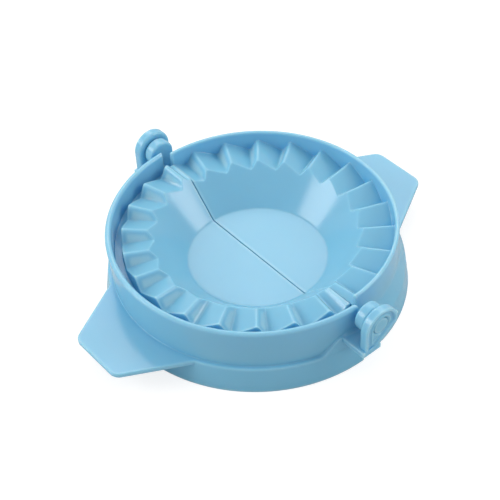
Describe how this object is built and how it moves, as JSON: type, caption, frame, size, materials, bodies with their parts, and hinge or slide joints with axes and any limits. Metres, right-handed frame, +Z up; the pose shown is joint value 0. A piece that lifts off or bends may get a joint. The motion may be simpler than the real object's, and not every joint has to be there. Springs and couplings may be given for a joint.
{
  "type": "empanada press",
  "caption": "Hinged hand press for empanadas and dumplings: two half dishes with meshing pleated rims, nesting walls, a cutter skirt and a flat wing on each half, shown open.",
  "frame": {"origin": "on the table, below the middle of the hinge line", "axes": "+X from the outer half's wing towards the inner half's wing, +Y along the hinge, +Z up"},
  "size_m": [0.1216, 0.106, 0.0252],
  "materials": {
    "outer_plastic": "moulded light blue polypropylene, glossy and faintly translucent",
    "inner_plastic": "moulded light blue polypropylene, glossy and faintly translucent"
  },
  "bodies": {
    "outer": {"outer_half": "outer_plastic"},
    "inner": {"inner_half": "inner_plastic"}
  },
  "joints": [
    {"name": "fold_hinge", "type": "hinge", "parent": "outer", "child": "inner", "pos_m": [0, 0, 0.0193], "axis": [0, -1, 0], "range_deg": [0, 180]}
  ]
}
